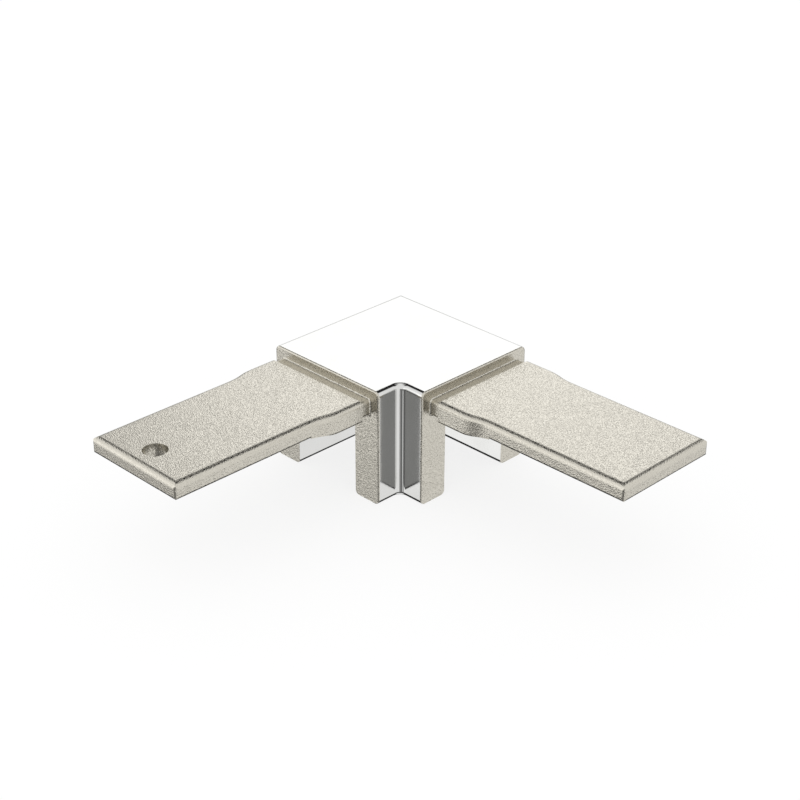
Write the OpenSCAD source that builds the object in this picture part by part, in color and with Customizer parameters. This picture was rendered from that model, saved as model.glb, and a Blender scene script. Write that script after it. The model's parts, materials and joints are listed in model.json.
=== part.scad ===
// Elbow connector for a slotted top rail: a mitred corner body with a tongue for each rail end.
// One arm runs along +X and the other along -Y; their centre lines cross over the origin.
// Z = 0 is the plane of the feet. All sizes are in millimetres.

/* [Rail] */
// Width of the rail that the connector joins
rail_w = 25; // [23:0.5:27]
// Height of the rail, from its feet to its top
rail_h = 21; // [20:0.5:24]
// Wall thickness of the rail
rail_wall = 1.2; // [1:0.1:1.6]
// Width of the slot for the glass
slot_w = 14; // [10:0.5:16]
// Depth of the slot above the feet
slot_depth = 14; // [10:0.5:15]
// Radius along the long top edges
top_round = 1; // [0.6:0.1:1.8]
// Radius along the edges of the feet
foot_round = 0.8; // [0.4:0.1:1.4]

/* [Corner body] */
// Length of each outer side
side_len = 30; // [29:0.5:45]
// Radius of the upright inner corner
notch_round = 1.2; // [0.6:0.1:2]
// Radius that breaks the rim of each end face
end_break = 0.3; // [0.1:0.05:0.4]

/* [Tongues] */
// Reach of each tongue past its end face
tongue_len = 39.8; // [30:0.2:60]
// Thickness of the outer part
blade_thick = 2.9; // [2.2:0.1:3.4]
// Radius along the top edges
tongue_round = 1; // [0.7:0.1:1.3]
// Radius along the lower edges
under_round = 0.5; // [0.2:0.1:0.6]
// Radius of the upright corners at the tip
tip_round = 0.5; // [0.2:0.1:1]

/* [Shoulders] */
// Thickness of the wide part that centres the rail
shoulder_thick = 3.75; // [3.5:0.05:4.2]
// Distance from the end face to the end of the wide part
shoulder_end = 7; // [5:0.5:12]
// Step on each side from the wide part to the outer part
shoulder_step = 0.8; // [0.4:0.1:1.2]
// Clearance between the wide part and each side wall of the rail
side_gap = 0.2; // [0.1:0.05:0.5]
// Clearance between the tongue and the top wall of the rail
top_gap = 0.2; // [0.1:0.05:0.6]

/* [Necks] */
// Length of the relieved neck behind the wide part
neck_len = 2.2; // [1:0.1:3]
// Depth of the relief on all four sides
neck_inset = 0.45; // [0.2:0.05:0.6]
// Radius between the neck and the end face
neck_fillet = 0.3; // [0.1:0.05:0.4]

/* [Screw hole] */
// Diameter of the bore in the tongue on the -Y arm
hole_d = 4.1; // [3:0.1:6]
// Distance from the tip to the centre of the bore
hole_inset = 4.4; // [3.6:0.1:12]

/* [Part] */
// Sub-part to draw

/* [Hidden] */
$fn = 64;
steel_colour = [0.80, 0.78, 0.73];
// Overrun of a cutter past the face that it opens
past = 1;
// Depth by which a joined solid runs into its neighbour
sunk = 0.2;
// Half the rail's width, which is also the distance from the origin to the outer sides
half_w = rail_w / 2;
leg_w = (rail_w - slot_w) / 2;
// Distance from the origin to each end face
arm_end = side_len - half_w;
// Distance along both arms to the upright axis of the inner corner's radius
notch_axis = half_w + notch_round;
// Side of the square block that the turned inner corner replaces
corner_block = notch_round + max(top_round, foot_round) + sunk;
tongue_top = rail_h - rail_wall - top_gap;
shoulder_w = rail_w - 2 * (rail_wall + side_gap);
shoulder_floor = tongue_top - shoulder_thick;
blade_w = shoulder_w - 2 * shoulder_step;
blade_floor = tongue_top - blade_thick;
// A right triangle of sides 7, 24 and 25 sets the shoulder's two curves, so they join smoothly
flank_sin = 7 / 25;
flank_cos = 24 / 25;
flank_r = shoulder_step / (2 * (1 - flank_cos));
blade_start = shoulder_end + 2 * flank_r * flank_sin;
// Slant of the shoulder's side where the two curves join
flank_slant = asin(flank_sin);
// Sweep of each curved strip, a little more than the curve needs
strip_turn = 20;
// Width of the edge strips that carry the top radius round the curves
strip_w = tongue_round + 2 * past;
// Half the width of the plain block between the strips
core_half = blade_w / 2 - tongue_round - past / 2;
neck_w = shoulder_w - 2 * neck_inset;
neck_h = shoulder_thick - 2 * neck_inset;
neck_floor = shoulder_floor + neck_inset;
neck_round = tongue_round - neck_inset;

// Quarter of a disc in the first quadrant
module quarter_disc(r) {
    intersection() {
        circle(r);
        square(r);
    }
}

// Rectangle from x = 0 to w and y = 0 to h with its two right-hand corners rounded
module half_section(w, h, low_r, high_r) {
    square([w - low_r, h - high_r]);
    translate([0, low_r])
        square([w, h - low_r - high_r]);
    translate([0, h - high_r])
        square([w - high_r, high_r]);
    translate([w - low_r, low_r])
        mirror([0, 1])
            quarter_disc(low_r);
    translate([w - high_r, h - high_r])
        quarter_disc(high_r);
}

// The same rectangle with all four corners rounded, centred on x = 0
module full_section(w, h, low_r, high_r) {
    half_section(w / 2, h, low_r, high_r);
    mirror([1, 0])
        half_section(w / 2, h, low_r, high_r);
}

// Waste that rounds an outer corner at the origin, with the solid at negative x and y
module edge_waste(r) {
    difference() {
        translate([-r, -r])
            square(r + past);
        translate([-r, -r])
            circle(r);
    }
}

// Hollow radius that fills an inner corner at the origin, with the walls at negative x and y
module fillet_section(r) {
    difference() {
        translate([-sunk, -sunk])
            square(r + sunk);
        translate([r, r])
            circle(r);
    }
}

// Stands a section up across the arm, so that its x runs along Y and its y along Z
module face_x() {
    rotate([90, 0, 90])
        children();
}

// Extrudes a section along the arm
module along_x(start, end) {
    translate([start, 0, 0])
        face_x()
            linear_extrude(end - start)
                children();
}

// Extrudes a side view across the arm
module across_y(width) {
    rotate([90, 0, 0])
        linear_extrude(width, center = true)
            children();
}

// Straight run of a rim section along Y, with the section's x pointing outward
module straight_run(length) {
    rotate([90, 0, 0])
        linear_extrude(length, center = true)
            children();
}

// Carries a rim section round a rounded rectangle that is centred on the origin
module round_the_rim(w, h, r) {
    for (across = [0, 1])
        mirror([across, 0, 0]) {
            translate([w / 2, 0, 0])
                straight_run(h - 2 * r)
                    children();
            for (up = [0, 1])
                mirror([0, up, 0])
                    translate([w / 2 - r, h / 2 - r, 0])
                        rotate_extrude(angle = 90)
                            translate([r, 0])
                                children();
        }
    for (up = [0, 1])
        mirror([0, up, 0])
            translate([0, h / 2, 0])
                rotate([0, 0, 90])
                    straight_run(w - 2 * r)
                        children();
}

// The rail's outline: a top wall and two legs with rounded feet
module rail_section() {
    difference() {
        full_section(rail_w, rail_h, foot_round, top_round);
        translate([-slot_w / 2, -past])
            square([slot_w, slot_depth + past]);
        for (side = [0, 1])
            mirror([side, 0])
                translate([slot_w / 2, 0])
                    rotate(180)
                        edge_waste(foot_round);
    }
}

// Waste that breaks the top and upright edges of the end face
module rim_waste() {
    rim_h = rail_h + rail_w;
    translate([arm_end, 0, rail_h - rim_h / 2])
        face_x()
            round_the_rim(rail_w, rim_h, top_round)
                edge_waste(end_break);
}

// One arm of the body along +X, cut back to the mitre
module arm() {
    intersection() {
        difference() {
            along_x(-half_w, arm_end)
                rail_section();
            rim_waste();
        }
        translate([0, 0, -past])
            linear_extrude(rail_h + 2 * past)
                polygon([
                    [-half_w - past, half_w + past],
                    [arm_end + past, half_w + past],
                    [arm_end + past, -arm_end - past]
                ]);
    }
}

// The inner corner: the leg's section turned about an upright axis in the notch
module turned_corner() {
    translate([notch_axis, -notch_axis, 0])
        rotate([0, 0, 90])
            rotate_extrude(angle = 90)
                translate([notch_axis - half_w + leg_w - sunk, 0])
                    mirror([1, 0])
                        half_section(leg_w - sunk, rail_h, foot_round, top_round);
}

// Repeats a solid of the +X arm on the -Y arm
module on_both_arms() {
    children();
    mirror([1, 1, 0])
        children();
}

module corner_body() {
    difference() {
        on_both_arms()
            arm();
        translate([notch_axis - corner_block, -notch_axis, -past])
            cube([corner_block, corner_block, rail_h + 2 * past]);
    }
    turned_corner();
}

// Relieved neck with a hollow radius where it leaves the end face
module neck() {
    along_x(-past, neck_len + sunk)
        translate([0, neck_floor])
            full_section(neck_w, neck_h, neck_round, neck_round);
    translate([0, 0, neck_floor + neck_h / 2])
        face_x()
            round_the_rim(neck_w, neck_h, neck_round)
                fillet_section(neck_fillet);
}

// Wide part of the tongue
module shoulder() {
    along_x(neck_len, shoulder_end)
        translate([0, shoulder_floor])
            full_section(shoulder_w, shoulder_thick, under_round, tongue_round);
}

// Curved edge strip on the +Y side, drawn about the point where its two curves join
module flank() {
    translate([shoulder_end + flank_r * flank_sin, (shoulder_w + blade_w) / 4, shoulder_floor])
        rotate([0, 0, -flank_slant]) {
            translate([0, -flank_r, 0])
                rotate([0, 0, 90])
                    rotate_extrude(angle = strip_turn)
                        translate([flank_r - strip_w, 0])
                            half_section(strip_w, shoulder_thick, under_round, tongue_round);
            translate([0, flank_r, 0])
                rotate([0, 0, -90])
                    rotate_extrude(angle = strip_turn)
                        translate([flank_r + strip_w, 0])
                            mirror([1, 0])
                                half_section(strip_w, shoulder_thick, under_round, tongue_round);
        }
}

// Part where the tongue narrows and its underside ramps up
module taper() {
    intersection() {
        union() {
            translate([shoulder_end, -core_half, shoulder_floor])
                cube([blade_start - shoulder_end, 2 * core_half, shoulder_thick]);
            for (side = [0, 1])
                mirror([0, side, 0])
                    flank();
        }
        across_y(rail_w)
            polygon([
                [shoulder_end, shoulder_floor],
                [blade_start, blade_floor],
                [blade_start, rail_h],
                [shoulder_end, rail_h]
            ]);
    }
}

// Outer part of the tongue, rounded in all three views
module blade() {
    blade_len = tongue_len - blade_start;
    intersection() {
        along_x(blade_start, tongue_len)
            translate([0, blade_floor])
                full_section(blade_w, blade_thick, under_round, tongue_round);
        across_y(rail_w)
            translate([blade_start, blade_floor])
                half_section(blade_len, blade_thick, under_round, tongue_round);
        translate([blade_start, -blade_w / 2, 0])
            linear_extrude(rail_h)
                half_section(blade_len, blade_w, tip_round, tip_round);
    }
}

// Block inside the tongue that ties its wide and narrow parts together
module spine() {
    translate([shoulder_end - sunk, -core_half, blade_floor + sunk])
        cube([blade_start - shoulder_end + 2 * sunk, 2 * core_half, blade_thick - 2 * sunk]);
}

// Tongue along +X from the end face at x = 0
module tongue() {
    neck();
    shoulder();
    taper();
    blade();
    spine();
}

module bored_tongue() {
    difference() {
        tongue();
        translate([tongue_len - hole_inset, 0, blade_floor - past])
            cylinder(h = blade_thick + 2 * past, d = hole_d);
    }
}

// One cast piece: the corner body with a tongue on each arm
module elbow_connector() {
    color(steel_colour) {
        corner_body();
        translate([arm_end, 0, 0])
            tongue();
        mirror([1, 1, 0])
            translate([arm_end, 0, 0])
                bored_tongue();
    }
}

elbow_connector();
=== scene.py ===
"""Looks of a cast elbow connector for a slotted handrail: finishes, studio and camera.

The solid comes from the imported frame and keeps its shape. Its body is polished to a mirror, and its
tongues and end faces keep the fine, warm grain of a blasted casting.
"""

import json
import logging
import math
from dataclasses import dataclass
from enum import Enum

import bpy
from mathutils import Matrix, Vector


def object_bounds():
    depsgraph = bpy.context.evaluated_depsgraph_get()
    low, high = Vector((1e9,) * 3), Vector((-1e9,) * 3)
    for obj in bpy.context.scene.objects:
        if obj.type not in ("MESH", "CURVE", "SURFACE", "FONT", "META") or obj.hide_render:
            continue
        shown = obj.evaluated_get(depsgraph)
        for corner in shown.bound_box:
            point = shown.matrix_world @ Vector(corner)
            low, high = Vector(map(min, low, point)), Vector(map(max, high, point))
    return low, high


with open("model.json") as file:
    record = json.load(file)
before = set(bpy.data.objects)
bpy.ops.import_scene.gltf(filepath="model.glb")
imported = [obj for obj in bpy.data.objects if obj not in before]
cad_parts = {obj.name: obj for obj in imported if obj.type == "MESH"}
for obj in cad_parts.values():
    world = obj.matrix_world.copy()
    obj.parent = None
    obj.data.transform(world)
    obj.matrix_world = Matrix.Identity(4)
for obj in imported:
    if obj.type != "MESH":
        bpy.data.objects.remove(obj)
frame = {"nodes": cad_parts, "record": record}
CAD_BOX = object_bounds()

LOG = logging.getLogger("elbow_connector")
MM = 0.001
WHITE = (1.0, 1.0, 1.0, 1.0)

Triple = tuple[float, float, float]
Span = tuple[float, float]


class Finish(Enum):
    """The two finishes of the casting, by the index of their material slot."""

    POLISHED = 0
    BLASTED = 1


class Signal:
    """A shader socket that takes part in sums and products by adding Math nodes."""

    def __init__(self, graph: "Graph", socket: bpy.types.NodeSocket | None) -> None:
        """Wraps an output socket, or none for a node without outputs."""
        self.graph = graph
        self.socket = socket

    def _math(self, operation: str, first: "Term", second: "Term") -> "Signal":
        """Adds one Math node.

        Args:
            operation: Blender's name for the operation.
            first: Left-hand value or signal.
            second: Right-hand value or signal.

        Returns:
            The node's result.
        """
        return self.graph.node("ShaderNodeMath", {"operation": operation}, {0: first, 1: second})

    def __add__(self, other: "Term") -> "Signal":
        """Sum."""
        return self._math("ADD", self, other)

    def __radd__(self, other: "Term") -> "Signal":
        """Sum with a plain number on the left."""
        return self._math("ADD", other, self)

    def __sub__(self, other: "Term") -> "Signal":
        """Difference."""
        return self._math("SUBTRACT", self, other)

    def __rsub__(self, other: "Term") -> "Signal":
        """Difference with a plain number on the left."""
        return self._math("SUBTRACT", other, self)

    def __mul__(self, other: "Term") -> "Signal":
        """Product."""
        return self._math("MULTIPLY", self, other)

    def __rmul__(self, other: "Term") -> "Signal":
        """Product with a plain number on the left."""
        return self._math("MULTIPLY", other, self)

    def ramp(self, start: float, full: float) -> "Signal":
        """Smooth step from 0 to 1.

        Args:
            start: Value where the step leaves 0.
            full: Value where it reaches 1; below start for a falling step.

        Returns:
            The step's signal.
        """
        ends = {"Value": self, "From Min": start, "From Max": full, "To Min": 0.0, "To Max": 1.0}
        return self.graph.node("ShaderNodeMapRange", {"interpolation_type": "SMOOTHSTEP"}, ends)


Term = Signal | float


class Graph:
    """A node tree, with one method that makes any node."""

    def __init__(self, tree: bpy.types.NodeTree) -> None:
        """Clears the tree so that it can be filled."""
        self.tree = tree
        tree.nodes.clear()

    def node(
        self,
        kind: str,
        settings: dict[str, object] | None = None,
        sockets: dict[int | str, object] | None = None,
        output: str | None = None,
    ) -> Signal:
        """Makes one node.

        Args:
            kind: Blender's type name of the node.
            settings: Properties of the node, set before its sockets.
            sockets: Input names or indices with their values or signals.
            output: Name of the output to return; without it, the first one in use.

        Returns:
            The chosen output of the node.
        """
        made = self.tree.nodes.new(kind)
        for name, value in (settings or {}).items():
            setattr(made, name, value)
        for name, value in (sockets or {}).items():
            if isinstance(value, Signal):
                self.tree.links.new(value.socket, made.inputs[name])
            else:
                made.inputs[name].default_value = value
        if output is not None:
            return Signal(self, made.outputs[output])
        in_use = [socket for socket in made.outputs if socket.enabled]
        return Signal(self, in_use[0] if in_use else None)

    def noise(self, place: Signal, size: float, detail: float = 0.0) -> Signal:
        """Makes a noise.

        Args:
            place: Coordinates in metres.
            size: Size of one wave, in metres.
            detail: Number of finer layers added to it.

        Returns:
            The noise, about 0.5 on average.
        """
        return self.node("ShaderNodeTexNoise", sockets={"Vector": place, "Scale": 1 / size, "Detail": detail})

    def mix_colour(self, share: Term, first: Triple, second: Triple) -> Signal:
        """Blends two colours.

        Args:
            share: Share of the second colour, from 0 to 1.
            first: Colour at share 0.
            second: Colour at share 1.

        Returns:
            The blended colour.
        """
        colours = {0: share, 6: rgba(first), 7: rgba(second)}
        return self.node("ShaderNodeMix", {"data_type": "RGBA"}, colours)

    def mix_shader(self, share: Term, first: Signal, second: Signal) -> Signal:
        """Blends two shaders.

        Args:
            share: Share of the second shader, from 0 to 1.
            first: Shader at share 0.
            second: Shader at share 1.

        Returns:
            The blended shader.
        """
        return self.node("ShaderNodeMixShader", sockets={0: share, 1: first, 2: second})


def new_material(name: str) -> tuple[bpy.types.Material, Graph]:
    """Makes an empty node material.

    Args:
        name: Name of the material.

    Returns:
        The material and its graph.
    """
    material = bpy.data.materials.new(name)
    material.use_nodes = True
    return material, Graph(material.node_tree)


def rgba(colour: Triple) -> tuple[float, float, float, float]:
    """Adds an opaque alpha to a colour."""
    return (*colour, 1.0)


def towards(azimuth: float, elevation: float) -> Vector:
    """Gives the unit vector from the object towards a side.

    Args:
        azimuth: Degrees from -Y, growing towards +X.
        elevation: Degrees above the floor.

    Returns:
        The unit vector.
    """
    turn, tilt = math.radians(azimuth), math.radians(elevation)
    return Vector((math.sin(turn) * math.cos(tilt), -math.cos(turn) * math.cos(tilt), math.sin(tilt)))


@dataclass(frozen=True)
class PolishedSteel:
    """Mirror finish of the body, with the faint drift that buffing leaves."""

    colour: Triple = (0.71, 0.71, 0.70)
    buffed_colour: Triple = (0.69, 0.69, 0.675)
    roughness: float = 0.10
    roughness_spread: float = 0.05
    drift_size: float = 6.0 * MM
    drift_detail: float = 3.0
    drift_ends: Span = (0.35, 0.65)
    hairline_size: float = 0.25 * MM
    hairline_detail: float = 2.0
    hairline_stretch: float = 30.0

    def material(self) -> bpy.types.Material:
        """Builds the node material.

        Returns:
            The polished steel.
        """
        material, graph = new_material("polished_steel")
        place = graph.node("ShaderNodeTexCoord", output="Object")
        drift = graph.noise(place, self.drift_size, self.drift_detail).ramp(*self.drift_ends)
        upright = {0: place, 1: (1.0, 1.0, 1 / self.hairline_stretch)}
        drawn_out = graph.node("ShaderNodeVectorMath", {"operation": "MULTIPLY"}, upright)
        hairline = graph.noise(drawn_out, self.hairline_size, self.hairline_detail)
        surface = graph.node(
            "ShaderNodeBsdfPrincipled",
            sockets={
                "Base Color": graph.mix_colour(drift, self.colour, self.buffed_colour),
                "Metallic": 1.0,
                "Roughness": self.roughness + self.roughness_spread * drift * hairline,
            },
        )
        graph.node("ShaderNodeOutputMaterial", sockets={"Surface": surface})
        return material


@dataclass(frozen=True)
class BlastedSteel:
    """Warm satin grain of the tongues and end faces. Its pits are rougher and a little darker."""

    colour: Triple = (0.615, 0.588, 0.52)
    pit_colour: Triple = (0.60, 0.572, 0.503)
    roughness: float = 0.14
    roughness_spread: float = 0.03
    pit_roughness: float = 0.24
    pit_ends: Span = (0.40, 0.54)
    grain_size: float = 0.19 * MM
    grain_share: float = 0.85
    grain_height: float = 0.045 * MM
    grain_turn: Triple = (0.5, 0.9, 0.3)
    fine_size: float = 0.12 * MM
    patch_size: float = 5.0 * MM
    patch_detail: float = 3.0
    patch_ends: Span = (0.3, 0.7)

    def material(self) -> bpy.types.Material:
        """Builds the node material.

        Returns:
            The blasted steel.
        """
        material, graph = new_material("blasted_steel")
        square = graph.node("ShaderNodeTexCoord", output="Object")
        place = graph.node("ShaderNodeMapping", sockets={"Vector": square, "Rotation": self.grain_turn})
        grain = graph.noise(place, self.grain_size)
        fine = graph.noise(place, self.fine_size)
        patch = graph.noise(place, self.patch_size, self.patch_detail).ramp(*self.patch_ends)
        height = self.grain_share * grain + (1 - self.grain_share) * fine
        pits = 1 - height.ramp(*self.pit_ends)
        depth = {"Strength": 1.0, "Distance": self.grain_height, "Height": height}
        surface = graph.node(
            "ShaderNodeBsdfPrincipled",
            sockets={
                "Base Color": graph.mix_colour(pits, self.colour, self.pit_colour),
                "Metallic": 1.0,
                "Roughness": self.roughness + self.roughness_spread * patch + self.pit_roughness * pits,
                "Normal": graph.node("ShaderNodeBump", sockets=depth),
            },
        )
        graph.node("ShaderNodeOutputMaterial", sockets={"Surface": surface})
        return material


@dataclass
class ElbowConnector:
    """The casting: a mitred channel body with a tongue on each arm.

    The end faces come from the record's rail stops. The rim that breaks their edges is blasted with them.
    """

    node: bpy.types.Object
    stop_x: float
    stop_y: float
    rim: float = 0.3 * MM
    touch: float = 0.01 * MM

    @classmethod
    def from_frame(cls) -> "ElbowConnector":
        """Reads the node and its end faces from the frame."""
        stops = {mount["name"]: mount["pos_m"] for mount in frame["record"]["mounts"]}
        return cls(frame["nodes"]["elbow_connector"], stops["rail_stop_x"][0], stops["rail_stop_y"][1])

    def finish_at(self, point: Vector) -> Finish:
        """Tells which finish a face has.

        Args:
            point: Centre of the face.

        Returns:
            The finish there.
        """
        border = self.rim + self.touch
        past_x = point.x > self.stop_x - border
        past_y = point.y < self.stop_y + border
        return Finish.BLASTED if past_x or past_y else Finish.POLISHED

    def dress(self) -> bpy.types.Object:
        """Gives each face its finish.

        Returns:
            The dressed piece.
        """
        materials = self.node.data.materials
        materials.clear()
        materials.append(PolishedSteel().material())
        materials.append(BlastedSteel().material())
        for face in self.node.data.polygons:
            face.material_index = self.finish_at(face.center).value
        return self.node


@dataclass(frozen=True)
class PhotoCamera:
    """The camera that took the picture, given by where it looks and from which side."""

    target: Triple = (6.23 * MM, -6.31 * MM, 13.28 * MM)
    azimuth: float = 45.079
    elevation: float = 27.924
    roll: float = 0.202
    distance: float = 295.19 * MM
    lens: float = 78.63
    sensor: float = 36.0
    reach: Span = (0.01, 100.0)

    def place(self) -> None:
        """Adds the camera to the scene."""
        data = bpy.data.cameras.new("photo_camera")
        data.lens = self.lens
        data.sensor_width = self.sensor
        data.clip_start, data.clip_end = self.reach
        camera = bpy.data.objects.new("photo_camera", data)
        back = towards(self.azimuth, self.elevation)
        facing = (-back).to_track_quat("-Z", "Y").to_matrix()
        turned = facing @ Matrix.Rotation(math.radians(self.roll), 3, "Z")
        camera.matrix_world = turned.to_4x4()
        camera.location = Vector(self.target) + back * self.distance
        bpy.context.scene.collection.objects.link(camera)
        bpy.context.scene.camera = camera


@dataclass(frozen=True)
class StudioFloor:
    """Pale floor that shows white and keeps a faint shadow."""

    half_side: float = 3.0
    drop: float = 0.05 * MM
    albedo: float = 0.8
    shown_albedo: float = 0.18
    shown_glow: float = 0.83

    def build(self) -> bpy.types.Object:
        """Makes the floor and hides it from glossy rays.

        Returns:
            The floor.
        """
        side = self.half_side
        mesh = bpy.data.meshes.new("studio_floor")
        corners = [(-side, -side, 0.0), (side, -side, 0.0), (side, side, 0.0), (-side, side, 0.0)]
        mesh.from_pydata(corners, [], [(0, 1, 2, 3)])
        mesh.materials.append(self.material())
        floor = bpy.data.objects.new("studio_floor", mesh)
        floor.location.z = CAD_BOX[0].z - self.drop
        floor.visible_glossy = False
        bpy.context.scene.collection.objects.link(floor)
        return floor

    def material(self) -> bpy.types.Material:
        """Builds the floor's material.

        Returns:
            A pale floor that the camera sees lifted to white.
        """
        material, graph = new_material("studio_floor")
        seen = graph.node("ShaderNodeLightPath", output="Is Camera Ray")
        plain = graph.node("ShaderNodeBsdfDiffuse", sockets={"Color": rgba((self.albedo,) * 3)})
        shown = graph.node("ShaderNodeBsdfDiffuse", sockets={"Color": rgba((self.shown_albedo,) * 3)})
        glow = graph.node("ShaderNodeEmission", sockets={"Color": WHITE, "Strength": self.shown_glow})
        lifted = graph.node("ShaderNodeAddShader", sockets={0: shown, 1: glow})
        surface = graph.mix_shader(seen, plain, lifted)
        graph.node("ShaderNodeOutputMaterial", sockets={"Surface": surface})
        return material


class Side(Enum):
    """Sides of the studio as the camera sees them, each with its azimuth and elevation in degrees."""

    FRONT = (45.0, 0.0)
    RIGHT = (135.0, 0.0)
    BACK = (225.0, 0.0)
    LEFT = (315.0, 0.0)
    ABOVE = (0.0, 90.0)
    LOW_FRONT = (45.0, -28.0)
    LOW_CORNER = (2.0, -28.0)

    def axis(self) -> Vector:
        """Unit vector from the object towards this side."""
        return towards(*self.value)


@dataclass(frozen=True)
class Limit:
    """Soft border of a zone: how far towards a side it starts and where it is full, as cosines."""

    side: Side
    start: float
    full: float

    def share(self, graph: Graph, way: Signal) -> Signal:
        """Tells how far inside the border a direction is.

        Args:
            graph: Graph of the world.
            way: Direction that is looked in.

        Returns:
            A signal from 0 to 1.
        """
        pair = {0: way, 1: self.side.axis()}
        cosine = graph.node("ShaderNodeVectorMath", {"operation": "DOT_PRODUCT"}, pair, "Value")
        return cosine.ramp(self.start, self.full)


@dataclass(frozen=True)
class Zone:
    """Part of the surround with a brightness of its own, inside all of its limits."""

    level: float
    limits: tuple[Limit, ...]

    def mask(self, graph: Graph, way: Signal) -> Signal:
        """Share of the zone in a direction.

        Args:
            graph: Graph of the world.
            way: Direction that is looked in.

        Returns:
            A signal from 0 to 1.
        """
        first, *others = self.limits
        share = first.share(graph, way)
        for limit in others:
            share = share * limit.share(graph, way)
        return share


@dataclass(frozen=True)
class StudioSky:
    """Surround that is plain white, except to metal, which mirrors a studio.

    Each zone covers the ones before it.

    Attributes:
        softbox: Bright panel behind, which whitens the upper faces.
        left_wing: Dim panel on its left, which brings out the grain.
        right_wing: Dim panel on its right.
        top_flag: Grey cloth overhead.
        high_flag: Dark cloth above the softbox, which draws the lines along the upper edges.
        top_strip: Grey gap in it, straight behind.
        left_glow: Bright panel on the left, for the rounded edges.
        left_dim: Its weaker lower half.
        left_shade: Dark foot of the left side.
        left_flag: Dark cloth low between the left and the back.
        front_shade: Shaded front, low down.
        front_card: Grey card that the inner corner mirrors.
        corner_card: Pale card beside it.
        low_back: Grey back below the softbox.
        low_flag: Dark foot of the back.
        floor_flag: Dark ring on the floor, which draws the lines along the lower edges.
    """

    softbox: Zone = Zone(
        1.44, (Limit(Side.BACK, 0.50, 0.65), Limit(Side.ABOVE, 0.20, 0.34), Limit(Side.ABOVE, 0.68, 0.62))
    )
    left_wing: Zone = Zone(
        0.28,
        (
            Limit(Side.LEFT, 0.12, 0.25),
            Limit(Side.LEFT, 0.58, 0.46),
            Limit(Side.BACK, 0.50, 0.62),
            Limit(Side.ABOVE, 0.0, 0.06),
        ),
    )
    right_wing: Zone = Zone(
        0.25,
        (
            Limit(Side.RIGHT, 0.23, 0.35),
            Limit(Side.RIGHT, 0.62, 0.50),
            Limit(Side.BACK, 0.50, 0.62),
            Limit(Side.ABOVE, 0.0, 0.06),
        ),
    )
    top_flag: Zone = Zone(
        0.38,
        (
            Limit(Side.ABOVE, 0.76, 0.82),
            Limit(Side.ABOVE, 0.985, 0.955),
            Limit(Side.BACK, -0.20, -0.08),
            Limit(Side.LEFT, 0.66, 0.52),
            Limit(Side.RIGHT, 0.74, 0.62),
        ),
    )
    high_flag: Zone = Zone(
        0.01,
        (
            Limit(Side.ABOVE, 0.64, 0.68),
            Limit(Side.ABOVE, 0.93, 0.86),
            Limit(Side.BACK, -0.20, -0.08),
            Limit(Side.LEFT, 0.66, 0.52),
            Limit(Side.RIGHT, 0.74, 0.62),
        ),
    )
    top_strip: Zone = Zone(
        0.50,
        (
            Limit(Side.ABOVE, 0.68, 0.74),
            Limit(Side.ABOVE, 0.985, 0.955),
            Limit(Side.BACK, 0.08, 0.16),
            Limit(Side.LEFT, 0.15, 0.07),
            Limit(Side.RIGHT, 0.15, 0.07),
        ),
    )
    left_glow: Zone = Zone(1.50, (Limit(Side.LEFT, 0.55, 0.75), Limit(Side.ABOVE, 0.60, 0.05)))
    left_dim: Zone = Zone(1.22, (Limit(Side.LEFT, 0.55, 0.75), Limit(Side.ABOVE, 0.0, -0.16)))
    left_shade: Zone = Zone(0.04, (Limit(Side.LEFT, 0.45, 0.60), Limit(Side.ABOVE, -0.496, -0.59)))
    left_flag: Zone = Zone(
        0.15, (Limit(Side.LEFT, 0.30, 0.45), Limit(Side.BACK, 0.09, 0.25), Limit(Side.ABOVE, -0.10, -0.30))
    )
    front_shade: Zone = Zone(
        0.18, (Limit(Side.FRONT, 0.34, 0.48), Limit(Side.RIGHT, 0.16, 0.08), Limit(Side.ABOVE, 0.05, -0.10))
    )
    front_card: Zone = Zone(0.36, (Limit(Side.LOW_FRONT, 0.984, 0.990),))
    corner_card: Zone = Zone(0.75, (Limit(Side.LOW_CORNER, 0.990, 0.996),))
    low_back: Zone = Zone(0.45, (Limit(Side.BACK, 0.30, 0.42), Limit(Side.ABOVE, 0.02, -0.10)))
    low_flag: Zone = Zone(0.04, (Limit(Side.BACK, 0.30, 0.42), Limit(Side.ABOVE, -0.50, -0.58)))
    floor_flag: Zone = Zone(0.02, (Limit(Side.ABOVE, -0.61, -0.68), Limit(Side.ABOVE, -0.93, -0.85)))

    def build(self) -> None:
        """Makes the world."""
        world = bpy.data.worlds.new("studio_sky")
        world.use_nodes = True
        bpy.context.scene.world = world
        graph = Graph(world.node_tree)
        way = graph.node("ShaderNodeTexCoord", output="Generated")
        plain = self.glow(graph, 1.0)
        studio = plain
        for zone in vars(self).values():
            studio = graph.mix_shader(zone.mask(graph, way), studio, self.glow(graph, zone.level))
        mirrored = graph.node("ShaderNodeLightPath", output="Is Glossy Ray")
        surround = graph.mix_shader(mirrored, plain, studio)
        graph.node("ShaderNodeOutputWorld", sockets={"Surface": surround})

    def glow(self, graph: Graph, level: float) -> Signal:
        """Makes one even background."""
        return graph.node("ShaderNodeBackground", sockets={"Color": WHITE, "Strength": level})


def main() -> None:
    """Dresses the piece, then sets up the studio and the camera."""
    logging.basicConfig(level=logging.INFO)
    bpy.context.scene.view_settings.view_transform = "Standard"
    piece = ElbowConnector.from_frame().dress()
    LOG.info("dressed %s with %d faces", piece.name, len(piece.data.polygons))
    floor = StudioFloor().build()
    LOG.info("laid %s", floor.name)
    StudioSky().build()
    PhotoCamera().place()


if __name__ == "__main__":
    main()
